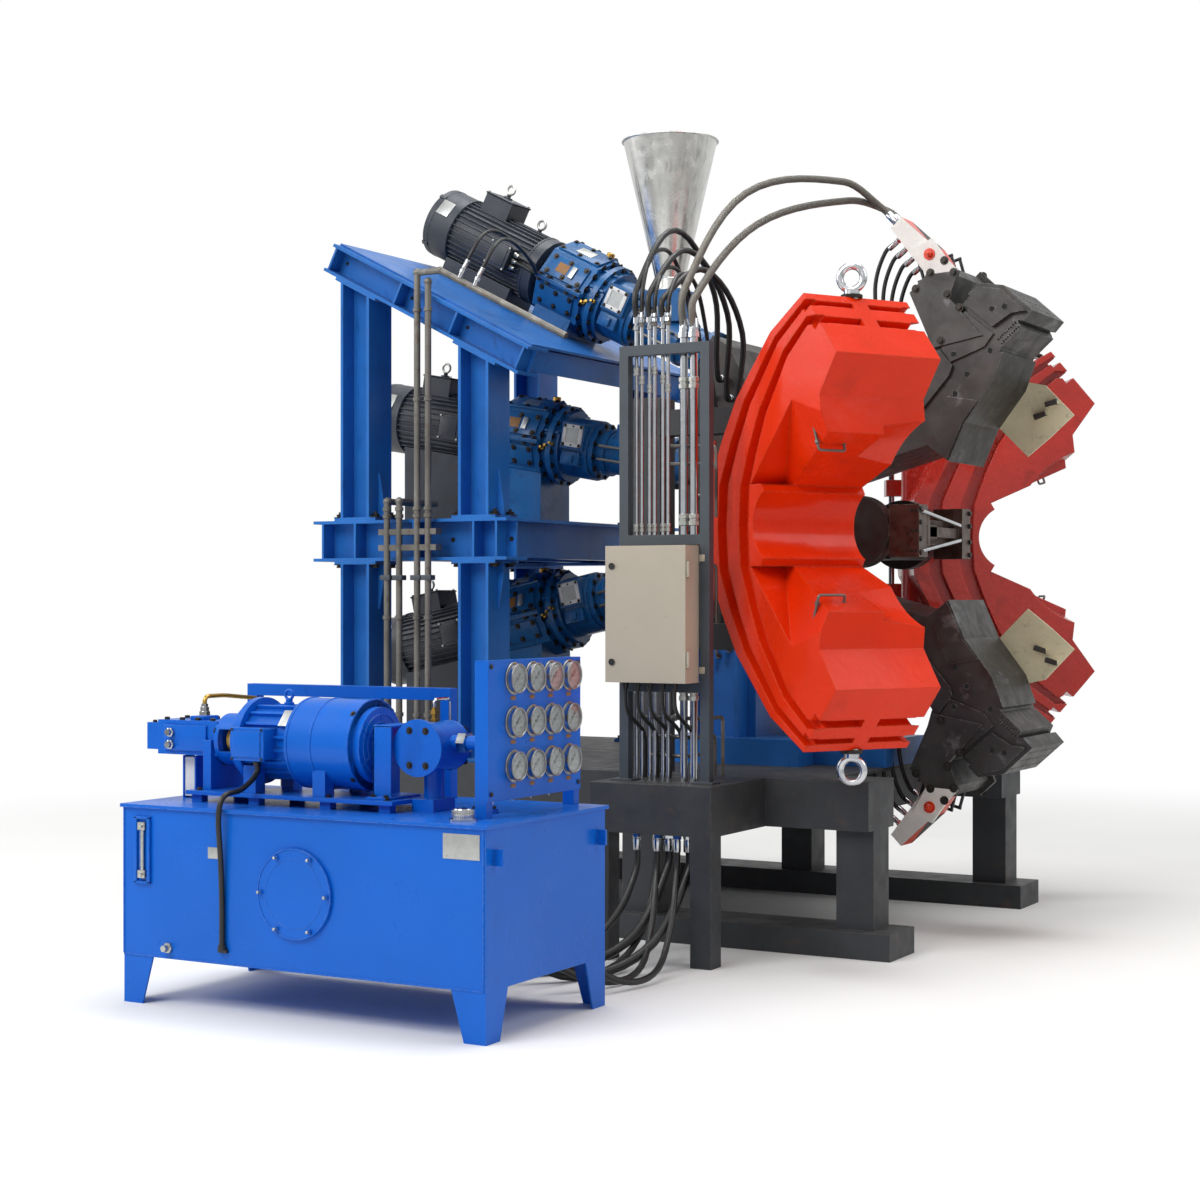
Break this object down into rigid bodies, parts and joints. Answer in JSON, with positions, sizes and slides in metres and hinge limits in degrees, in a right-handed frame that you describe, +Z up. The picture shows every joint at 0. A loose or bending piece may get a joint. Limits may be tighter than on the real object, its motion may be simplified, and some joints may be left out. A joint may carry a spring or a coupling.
{
  "type": "cold-feed extruder",
  "caption": "Triple cold-feed rubber extruder with a hinged co-extrusion head, swing clamps, pipe rack and hydraulic power unit.",
  "frame": {"origin": "centre of the four anchor holes in the floor rails, at floor level, on the machine's centreline", "axes": "+X along the machine towards the extrusion head's mouth, +Y away from the hydraulic power unit, +Z up"},
  "size_m": [3.8871, 5.0785, 4.004],
  "materials": {
    "frame_grey": "satin paint",
    "tower_blue": "gloss paint",
    "motor_black": "satin paint",
    "extruder_blue": "gloss paint",
    "screw_steel": "nitrided and polished",
    "hopper_stainless": "rolled stainless sheet",
    "head_steel": "machined tool steel, black",
    "cassette_steel": "ground",
    "plate_steel": "milled plate",
    "clamp_red": "thick gloss enamel over cast steel",
    "rack_grey": "satin paint",
    "pipe_steel": "drawn steel tube",
    "cabinet_beige": "powder coat",
    "lock_black": "moulded",
    "tank_blue": "gloss paint",
    "bright_steel": "bright",
    "coupling_yellow": "painted",
    "hose_rubber": "matt rubber",
    "conduit_steel": "braided steel",
    "needle_black": "matt"
  },
  "bodies": {
    "machine": {"base_frame": "frame_grey", "columns": "tower_blue", "deck_mid": "tower_blue", "deck_top": "tower_blue", "motor_top": "motor_black", "motor_mid": "motor_black", "motor_low": "motor_black", "gearbox_top": "extruder_blue", "gearbox_mid": "extruder_blue", "gearbox_low": "extruder_blue", "barrel_top": "extruder_blue", "barrel_mid": "extruder_blue", "barrel_low": "extruder_blue", "feed_hopper": "hopper_stainless", "head_stand": "tower_blue", "head_body": "head_steel", "die_cassette": "cassette_steel", "clamp_posts": "frame_grey", "pipe_rack": "rack_grey", "rack_pipes": "pipe_steel", "riser_pipes": "pipe_steel", "cabinet_box": "cabinet_beige", "tank": "tank_blue", "manhole_cover": "tank_blue", "level_gauge": "bright_steel", "pump_rail": "tank_blue", "pump_motor": "tank_blue", "pump": "tank_blue", "return_filter": "tank_blue", "gauge_panel": "tank_blue", "gauge_cases": "bright_steel", "hose_arches": "hose_rubber", "braided_conduits": "conduit_steel", "motor_cable": "hose_rubber"},
    "screw_top_body": {"screw_top": "screw_steel"},
    "screw_mid_body": {"screw_mid": "screw_steel"},
    "screw_low_body": {"screw_low": "screw_steel"},
    "clamp_near_body": {"clamp_near": "clamp_red"},
    "clamp_far_body": {"clamp_far": "clamp_red"},
    "lock_upper_body": {"lock_upper": "lock_black"},
    "lock_lower_body": {"lock_lower": "lock_black"},
    "filler_cap_body": {"filler_cap": "bright_steel"},
    "pump_coupling_body": {"pump_coupling": "coupling_yellow"},
    "needle_1_body": {"needle_1": "needle_black"},
    "needle_2_body": {"needle_2": "needle_black"},
    "needle_3_body": {"needle_3": "needle_black"},
    "needle_4_body": {"needle_4": "needle_black"},
    "needle_5_body": {"needle_5": "needle_black"},
    "needle_6_body": {"needle_6": "needle_black"},
    "needle_7_body": {"needle_7": "needle_black"},
    "needle_8_body": {"needle_8": "needle_black"},
    "needle_9_body": {"needle_9": "needle_black"},
    "needle_10_body": {"needle_10": "needle_black"},
    "needle_11_body": {"needle_11": "needle_black"},
    "needle_12_body": {"needle_12": "needle_black"},
    "upper_jaw": {"jaw_upper": "head_steel", "jaw_plates_upper": "plate_steel"},
    "lower_jaw": {"jaw_lower": "head_steel", "jaw_plates_lower": "plate_steel"},
    "door": {"cabinet_door": "cabinet_beige"}
  },
  "joints": [
    {"name": "clamp_near_swing", "type": "hinge", "parent": "machine", "child": "clamp_near_body", "pos_m": [0.85, -0.96, 1.93], "axis": [0, 0, 1], "range_deg": [0, 120]},
    {"name": "clamp_far_swing", "type": "hinge", "parent": "machine", "child": "clamp_far_body", "pos_m": [0.85, 0.96, 1.93], "axis": [0, 0, 1], "range_deg": [-120, 0]},
    {"name": "upper_jaw_tilt", "type": "hinge", "parent": "machine", "child": "upper_jaw", "pos_m": [0.42, 0, 2.21], "axis": [0, 1, 0], "range_deg": [0, 16]},
    {"name": "lower_jaw_tilt", "type": "hinge", "parent": "machine", "child": "lower_jaw", "pos_m": [0.42, 0, 1.65], "axis": [0, 1, 0], "range_deg": [-16, 0]},
    {"name": "screw_top_spin", "type": "hinge", "parent": "machine", "child": "screw_top_body", "pos_m": [0.18939, 0, 2.80394], "axis": [0.891, 0, -0.454], "continuous": true},
    {"name": "screw_mid_spin", "type": "hinge", "parent": "machine", "child": "screw_mid_body", "pos_m": [0.01, 0, 2.29], "axis": [0.9848, 0, -0.1736], "continuous": true},
    {"name": "screw_low_spin", "type": "hinge", "parent": "machine", "child": "screw_low_body", "pos_m": [0.01, 0, 1.718], "axis": [0.9781, 0, 0.2079], "continuous": true},
    {"name": "pump_coupling_spin", "type": "hinge", "parent": "machine", "child": "pump_coupling_body", "pos_m": [-0.53, -3.05, 1.035], "axis": [1, 0, 0], "continuous": true},
    {"name": "filler_cap_turn", "type": "hinge", "parent": "machine", "child": "filler_cap_body", "pos_m": [0.69, -3.28, 0.79], "axis": [0, 0, 1], "range_deg": [0, 90]},
    {"name": "cabinet_door_swing", "type": "hinge", "parent": "machine", "child": "door", "pos_m": [0.758, -1.6, 1.5], "axis": [0, 0, 1], "range_deg": [0, 105]},
    {"name": "lock_lower_turn", "type": "hinge", "parent": "door", "child": "lock_lower_body", "pos_m": [0.384, -1.6, 1.325], "axis": [0, -1, 0], "range_deg": [0, 90]},
    {"name": "lock_upper_turn", "type": "hinge", "parent": "door", "child": "lock_upper_body", "pos_m": [0.384, -1.6, 1.75], "axis": [0, -1, 0], "range_deg": [0, 90]},
    {"name": "needle_1_sweep", "type": "hinge", "parent": "machine", "child": "needle_1_body", "pos_m": [0.764, -3.0255, 1.305], "axis": [-1, 0, 0], "range_deg": [0, 270]},
    {"name": "needle_2_sweep", "type": "hinge", "parent": "machine", "child": "needle_2_body", "pos_m": [0.764, -2.8885, 1.305], "axis": [-1, 0, 0], "range_deg": [0, 270]},
    {"name": "needle_3_sweep", "type": "hinge", "parent": "machine", "child": "needle_3_body", "pos_m": [0.764, -2.7515, 1.305], "axis": [-1, 0, 0], "range_deg": [0, 270]},
    {"name": "needle_4_sweep", "type": "hinge", "parent": "machine", "child": "needle_4_body", "pos_m": [0.764, -2.6145, 1.305], "axis": [-1, 0, 0], "range_deg": [0, 270]},
    {"name": "needle_5_sweep", "type": "hinge", "parent": "machine", "child": "needle_5_body", "pos_m": [0.764, -3.0255, 1.14], "axis": [-1, 0, 0], "range_deg": [0, 270]},
    {"name": "needle_6_sweep", "type": "hinge", "parent": "machine", "child": "needle_6_body", "pos_m": [0.764, -2.8885, 1.14], "axis": [-1, 0, 0], "range_deg": [0, 270]},
    {"name": "needle_7_sweep", "type": "hinge", "parent": "machine", "child": "needle_7_body", "pos_m": [0.764, -2.7515, 1.14], "axis": [-1, 0, 0], "range_deg": [0, 270]},
    {"name": "needle_8_sweep", "type": "hinge", "parent": "machine", "child": "needle_8_body", "pos_m": [0.764, -2.6145, 1.14], "axis": [-1, 0, 0], "range_deg": [0, 270]},
    {"name": "needle_9_sweep", "type": "hinge", "parent": "machine", "child": "needle_9_body", "pos_m": [0.764, -3.0255, 0.975], "axis": [-1, 0, 0], "range_deg": [0, 270]},
    {"name": "needle_10_sweep", "type": "hinge", "parent": "machine", "child": "needle_10_body", "pos_m": [0.764, -2.8885, 0.975], "axis": [-1, 0, 0], "range_deg": [0, 270]},
    {"name": "needle_11_sweep", "type": "hinge", "parent": "machine", "child": "needle_11_body", "pos_m": [0.764, -2.7515, 0.975], "axis": [-1, 0, 0], "range_deg": [0, 270]},
    {"name": "needle_12_sweep", "type": "hinge", "parent": "machine", "child": "needle_12_body", "pos_m": [0.764, -2.6145, 0.975], "axis": [-1, 0, 0], "range_deg": [0, 270]}
  ],
  "couplings": [
    {"joint": "clamp_far_swing", "follows": "clamp_near_swing", "ratio": -1},
    {"joint": "upper_jaw_tilt", "follows": "clamp_near_swing", "ratio": 0.13333},
    {"joint": "lower_jaw_tilt", "follows": "clamp_near_swing", "ratio": -0.13333}
  ]
}
